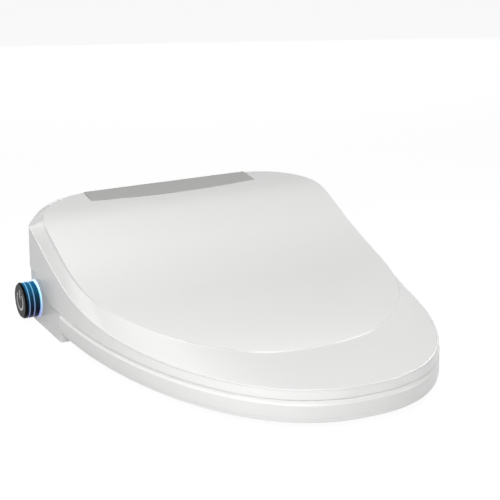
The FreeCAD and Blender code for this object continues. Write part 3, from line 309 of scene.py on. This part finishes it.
y = add(tree, "Math", axes["Y"], KNOB_Y, operation="SUBTRACT").outputs[0]
z = add(tree, "Math", axes["Z"], KNOB_Z, operation="SUBTRACT").outputs[0]
across = add(tree, "CombineXYZ", 0.0, y, z).outputs[0]
away = add(tree, "VectorMath", across, operation="LENGTH").outputs["Value"]
circle = between(tree, away, *[radius / 1000 for radius in CIRCLE_RADII_MM])
limit = add(tree, "Math", away, OPENING_SHARE, operation="MULTIPLY").outputs[0]
below_opening = add(tree, "Math", z, limit, operation="LESS_THAN").outputs[0]
open_circle = add(tree, "Math", circle, below_opening, operation="MULTIPLY").outputs[0]
bar_width = between(tree, y, -BAR_HALF_WIDTH_MM / 1000, BAR_HALF_WIDTH_MM / 1000)
bar_height = between(tree, z, *[height / 1000 for height in BAR_HEIGHTS_MM])
bar = add(tree, "Math", bar_width, bar_height, operation="MULTIPLY").outputs[0]
sign = add(tree, "Math", open_circle, bar, operation="MAXIMUM").outputs[0]
face_end = KNOB_FACE_X + FACE_DEPTH_MM / 1000
on_face = add(tree, "Math", axes["X"], face_end, operation="LESS_THAN").outputs[0]
printed = add(tree, "Math", sign, on_face, operation="MULTIPLY").outputs[0]
ink = add(tree, "MixRGB", printed, linear(BLACK_PLASTIC), linear(WHITE_INK)).outputs[0]
tree.links.new(ink, shader.inputs["Base Color"])
print("power sign", CIRCLE_RADII_MM[1] * 2, "mm across")

# %% [markdown]
# ## The light guide at the knob's foot
#
# A ring of clear plastic sits on the base behind the knob. A lamp inside the base feeds it, so it
# shines round the knob's foot. A lamp behind it would need many rays to find their way out. Letting
# the ring itself shine looks the same, in a run of colours like that of the knob's own rings.

# %% Light guide
GUIDE_COLOURS = ((0.0, "#8D8AB8"), (0.4, "#7FA4DC"), (0.75, "#8FDFFA"), (1.0, "#D6F8FF"))
GUIDE_STRENGTH = 1.1

# Clear polycarbonate with a frosted outside: pale blue, brightest at the top. The frosting is too
# fine to show and is drawn at 4 mm.
halo_glow, tree, shader = new_material("blue_lit_light_guide")
shader.inputs["Base Color"].default_value = linear("#9FB4D8")
uneven(tree, shader, smoothest=0.3, roughest=0.4, grain_mm=4.0, strength=0.05)
axes = add(tree, "SeparateXYZ", add(tree, "TexCoord").outputs["Object"]).outputs
tree.links.new(height_colour(tree, axes["Z"], GUIDE_COLOURS), shader.inputs["Emission Color"])
shader.inputs["Emission Strength"].default_value = GUIDE_STRENGTH
halo_glow.cycles.emission_sampling = "NONE"
print("light guide made")

# %% [markdown]
# ## Giving every piece its material
#
# Each piece gets what the real one would be made of. Materials could be set one by one where each
# piece is made, but here most pieces come from the frame, so one table serves them all, and what
# it doesn't name is a hidden part of dark nylon.

# %% Assign
MATERIALS = {
    "lid_shell": lid_white, "seat_top_shell": seat_white, "seat_bottom_shell": seat_white,
    "base_top_shell": base_white, "base_tray": base_white, "deck_strip": strip_satin,
    "dryer_grille": base_white, "deodoriser_cartridge": base_white, "release_button": base_white,
    "lid_bumpers": rubber, "seat_bumpers": rubber, "valve_hose": rubber, "night_light": lens_white,
    "ir_window": smoked, "knob": knob_black, "knob_halo": halo_glow, "main_board": board_green,
    "power_board": board_green, "water_inlet": brass, "rear_nozzle": nozzle_steel,
    "front_nozzle": nozzle_steel, "hinge_pin_right": steel, "hinge_pin_left": steel,
    "drive_motor_right": steel, "drive_motor_left": steel, "pump": steel, "knob_shaft": steel,
    "seat_heater_foil": foil}


def dress(obj, material):
    obj.data.materials.clear()
    obj.data.materials.append(material)


for name, obj in nodes.items():
    dress(obj, MATERIALS.get(name, inner_grey))
print("dressed", len(nodes), "pieces,", len(nodes) - len(MATERIALS), "of them in nylon")

# %% [markdown]
# ## Rounded edges
#
# A die is never perfectly sharp: every outer edge of a moulding has a radius of half a millimetre
# to a millimetre, and that radius draws a thin bright line along the edge. The shader's bevel node
# could fake it, but then it would be lost with the material. Here each moulding is copied, its
# sharp edges are cut back with a real bevel, and the copy stands for the solid. A solid's own faces
# meet in doubled points, so these borders are found before the points are joined.

# %% Finding sharp edges
# Doubled points lie closer together than this, in metres.
WELD_DISTANCE = 2e-6
# Borders that turn less than this stay as they are.
ROUNDED_FROM_DEGREES = 6


def welded(name):
    """The solid's mesh joined up, with the borders between its own faces kept as sharp edges."""
    shape = bmesh.new()
    shape.from_mesh(nodes[name].data)
    for edge in shape.edges:
        edge.smooth = not edge.is_boundary
    bmesh.ops.remove_doubles(shape, verts=shape.verts, dist=WELD_DISTANCE)
    return shape


def is_sharp(edge):
    """Whether an edge is a border between the solid's faces that turns enough to be rounded."""
    if edge.smooth or not edge.is_manifold:
        return False
    return edge.calc_face_angle() > math.radians(ROUNDED_FROM_DEGREES)


print("sharp from", ROUNDED_FROM_DEGREES, "degrees")

# %% [markdown]
# ## The rounded mouldings
#
# The lid's edges are the softest of the large mouldings, and the satin strip's are softer still.
# Many steps round each edge would make it smooth but heavy. Two are enough, because the shading
# does the rest: weighted normals follow the large faces, so the narrow rounding carries all of
# the turn.

# %% Rounding
# Solid, material slot, and how far its edges are cut back.
ROUNDINGS_MM = (
    ("lid_shell", "lid_plastic", 0.7),
    ("seat_top_shell", "seat_plastic", 0.5),
    ("seat_bottom_shell", "seat_plastic", 0.6),
    ("base_top_shell", "base_plastic", 0.6),
    ("base_tray", "base_plastic", 0.5),
    ("deck_strip", "satin_strip", 0.9))
STEPS_ROUND_EDGE = 2
# The profile of a circle's arc.
ROUND_PROFILE = 0.5
# After rounding, only edges that turn more than this are shaded as sharp.
SHADED_SHARP_FROM_DEGREES = 46

bodies = frame["record"]["behaviour"]["bodies"]
body_of_node = {node: body for body, group in bodies.items() for node in group}


def rounded(name, width_mm):
    """A copy of a solid with a small radius on its sharp edges, standing in the solid's place."""
    shape = welded(name)
    sharp = [edge for edge in shape.edges if is_sharp(edge)]
    for edge in shape.edges:
        edge.smooth = True
    bmesh.ops.bevel(shape, geom=sharp, offset=width_mm / 1000, offset_type="OFFSET",
                    segments=STEPS_ROUND_EDGE, profile=ROUND_PROFILE, affect="EDGES",
                    clamp_overlap=False)
    mesh = bpy.data.meshes.new(name + "_rounded")
    shape.to_mesh(mesh)
    shape.free()
    mesh.shade_smooth()
    mesh.set_sharp_from_angle(angle=math.radians(SHADED_SHARP_FROM_DEGREES))
    piece = bpy.data.objects.new(name + "_moulding", mesh)
    scene.collection.objects.link(piece)
    normals = piece.modifiers.new("even_shading", "WEIGHTED_NORMAL")
    normals.keep_sharp = True
    dress(piece, MATERIALS[name])
    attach(piece, body_of_node[name])
    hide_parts(name)
    print(name, len(sharp), "edges rounded,", len(mesh.polygons), "faces")


for name, slot, width_mm in ROUNDINGS_MM:
    rounded(name, width_mm)

# %% [markdown]
# ## The path of the bead along the lid's side
#
# Where the lid's upright side turns in to its sloping shoulder, the moulding carries a fine rounded
# bead that catches the light from end to end. Drawing its path by hand would never fit the lid, so
# the path is read from the solid: the edges that have the side below them and the shoulder above.

# %% Edges under the bead
# A face's slope is the upward share of its normal: 0 for a wall, 1 for a flat top.
SIDE_SLOPES = (0.02, 0.21)
SHOULDER_SLOPES = (0.22, 0.85)
SIDE_TURN_DEGREES = 45
# Round the front the side leans in more and the shoulder lies flatter. The step of the lid's
# panel has the same slopes there, but it is higher up. Both places are in metres.
FRONT_BEFORE_Y = -0.29
FRONT_BELOW_Z = 0.0495
FRONT_SIDE_SLOPE = 0.3
FRONT_SHOULDER_SLOPE = 0.6


def under_bead(edge):
    """Whether an edge is part of the border between the lid's side and its shoulder."""
    if edge.smooth or not edge.is_manifold or not edge.is_convex:
        return False
    side, shoulder = sorted(face.normal.z for face in edge.link_faces)
    middle = (edge.verts[0].co + edge.verts[1].co) / 2
    along_side = (SIDE_SLOPES[0] < side < SIDE_SLOPES[1]
                  and SHOULDER_SLOPES[0] < shoulder < SHOULDER_SLOPES[1]
                  and edge.calc_face_angle() < math.radians(SIDE_TURN_DEGREES))
    round_front = (middle.y < FRONT_BEFORE_Y and middle.z < FRONT_BELOW_Z
                   and side < FRONT_SIDE_SLOPE and shoulder > FRONT_SHOULDER_SLOPE)
    return along_side or round_front


shape = welded("lid_shell")
border = [edge for edge in shape.edges if under_bead(edge)]
corners = sorted({vert for edge in border for vert in edge.verts}, key=lambda vert: vert.index)
number = {vert: k for k, vert in enumerate(corners)}
bead_mesh = bpy.data.meshes.new("bead_path")
bead_mesh.from_pydata([vert.co.copy() for vert in corners],
                      [[number[vert] for vert in edge.verts] for edge in border], [])
shape.free()
print("bead path of", len(border), "edges")

# %% [markdown]
# ## The bead
#
# A bead is a fine half-round rib of the same plastic. A circle could be swept along the path in
# mesh code, but a curve does that by itself: the path's edges become one curve, and the curve gets
# a round section, half of which lies inside the lid. It swings with the lid, so it rides on it.

# %% Bead
BEAD_RADIUS_MM = 0.9
BEAD_ROUNDNESS = 2
bead = bpy.data.objects.new("lid_side_bead", bead_mesh)
scene.collection.objects.link(bead)
bpy.ops.object.select_all(action="DESELECT")
bead.select_set(True)
bpy.context.view_layer.objects.active = bead
bpy.ops.object.convert(target="CURVE")
bead.data.bevel_depth = BEAD_RADIUS_MM / 1000
bead.data.bevel_resolution = BEAD_ROUNDNESS
dress(bead, lid_white)
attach(bead, "lid")
print("bead in", len(bead.data.splines), "run of", BEAD_RADIUS_MM, "mm radius")

# %% [markdown]
# ## White paper
#
# Such a seat is shown on a sweep of white paper. A floor lit until it is white would also throw
# light up on the plastic and wash it out. So the floor is white only where the camera, a
# reflection or a clear piece sees it, and a quiet grey where it lights the object. It is still a
# matt surface under its white, so it keeps the object's shadow.

# %% Floor
FLOOR_SIZE = 40
FLOOR_Z = -0.0005
# The paper's grey where it lights the object, and where it is seen under its added white. The
# darker grey keeps the shadow faint.
LIGHTING_GREY = "#A8A8A8"
SEEN_GREY = "#737373"
FLOOR_WHITE = 0.92
FULL_WHITE = (1, 1, 1, 1)


def is_seen(tree):
    """1 for rays that show the background, 0 for rays that only bring its light."""
    path = add(tree, "LightPath").outputs
    seen = add(tree, "Math", path["Is Camera Ray"], path["Is Glossy Ray"], operation="MAXIMUM")
    through = path["Is Transmission Ray"]
    return add(tree, "Math", seen.outputs[0], through, operation="MAXIMUM").outputs[0]


bpy.ops.mesh.primitive_plane_add(size=FLOOR_SIZE, location=(0, 0, FLOOR_Z))
floor = bpy.context.object
floor.name = "floor"
# Coated paper: matt and even, so the shadow on it fades without a reflection.
paper = bpy.data.materials.new("white_paper_sweep")
paper.use_nodes = True
tree = paper.node_tree
tree.nodes.clear()
matt = add(tree, "BsdfDiffuse", linear(LIGHTING_GREY))
shade = add(tree, "BsdfDiffuse", linear(SEEN_GREY))
white = add(tree, "Emission", FULL_WHITE, FLOOR_WHITE)
shown = add(tree, "AddShader", shade.outputs[0], white.outputs[0])
mix = add(tree, "MixShader", is_seen(tree), matt.outputs[0], shown.outputs[0])
add(tree, "OutputMaterial", mix.outputs[0])
# The white is only to be seen, so the renderer doesn't treat the floor as a lamp.
paper.cycles.emission_sampling = "NONE"
dress(floor, paper)
print("floor", FLOOR_SIZE, "m wide")

# %% [markdown]
# ## The surround
#
# Behind the paper's edge the world takes over. It works the same way: full white where it is seen,
# and a faint even light on the object, which keeps the undersides from going black. A brighter
# world would take the shape out of the white plastic.

# %% World
SURROUND_LIGHT = 0.11
SURROUND_WHITE = 1.0
world = bpy.data.worlds.new("studio")
scene.world = world
world.use_nodes = True
tree = world.node_tree
tree.nodes.clear()
around = add(tree, "Background", FULL_WHITE, SURROUND_LIGHT)
shown = add(tree, "Background", FULL_WHITE, SURROUND_WHITE)
mix = add(tree, "MixShader", is_seen(tree), around.outputs[0], shown.outputs[0])
add(tree, "OutputWorld", mix.outputs[0])
print("surround lights at", SURROUND_LIGHT)

# %% [markdown]
# ## Lamps
#
# Glossy white plastic is drawn by what it reflects, so the lamps are soft boxes, as in a studio.
# Sun or point lamps would give hard spots instead. Two large boxes stand in front. Three small ones
# hang close over the lid and beside it, so that it shades off from left to right. Behind, a weak
# one hangs high up, one on the left brightens the sloping shoulder, and a low one keeps the back
# from going dark.

# %% Soft boxes
# Name, direction from the seat, distance, width and height in metres, power in watts.
SOFT_BOXES = (
    ("front_left_box", (-0.9, -1.6, 0.75), 2.0, 0.7, 0.5, 16.5),
    ("front_right_box", (1.5, -1.2, 0.33), 2.0, 0.7, 0.5, 8.0),
    ("left_fill", (-0.42, -0.32, 0.66), 0.85, 0.5, 0.35, 2.1),
    ("low_left_fill", (-0.6, -0.65, 0.14), 0.75, 0.3, 0.15, 0.35),
    ("right_fill", (0.49, -0.28, 0.57), 0.8, 0.3, 0.22, 0.9),
    ("rear_high_box", (0.0, 0.5, 1.18), 1.3, 0.6, 0.4, 0.5),
    ("rim_box", (-0.66, 0.75, 0.10), 1.6, 1.0, 0.3, 1.9),
    ("back_box", (0.45, 1.0, 0.12), 2.0, 1.3, 0.3, 8.0))
LAMPS_AIM = Vector((0, -0.08, 0.06))

for name, direction, distance, width, height, power in SOFT_BOXES:
    data = bpy.data.lights.new(name, "AREA")
    data.shape = "RECTANGLE"
    data.size, data.size_y, data.energy = width, height, power
    lamp = bpy.data.objects.new(name, data)
    scene.collection.objects.link(lamp)
    lamp.location = LAMPS_AIM + Vector(direction).normalized() * distance
    lamp.rotation_euler = (-Vector(direction)).to_track_quat("-Z", "Y").to_euler()
print(len(SOFT_BOXES), "soft boxes,", round(sum(row[-1] for row in SOFT_BOXES), 2), "W")

# %% [markdown]
# ## Camera
#
# The seat is seen from its front left and a little above, from nearly two metres away through a
# long lens, so that near and far parts keep their proportions. The aim lies behind and to the right
# of the seat's middle, so the seat sits low and to the left in the view. The camera is also rolled
# by less than a degree, as one held by hand would be. The roll comes after the aiming and turns
# about the line of sight, so the aim stays.

# %% Camera
EYE = Vector((-0.74138, -1.74626, 0.6329))
AIM = Vector((0.07621, -0.0348, 0.06))
LENS_MM = 114.93
SENSOR_WIDTH_MM = 36
ROLL_DEGREES = -0.83
# The camera's own third axis, which points back along its line of sight.
SIGHT_AXIS = (0, 0, 1)

camera_data = bpy.data.cameras.new("camera")
camera_data.sensor_width = SENSOR_WIDTH_MM
camera_data.lens = LENS_MM
camera = bpy.data.objects.new("camera", camera_data)
scene.collection.objects.link(camera)
camera.location = EYE
aimed = (AIM - EYE).to_track_quat("-Z", "Y")
camera.rotation_mode = "QUATERNION"
camera.rotation_quaternion = aimed @ Quaternion(SIGHT_AXIS, math.radians(ROLL_DEGREES))
scene.camera = camera
scene.view_settings.view_transform = "Standard"
print("camera", round((AIM - EYE).length, 3), "m from its aim")
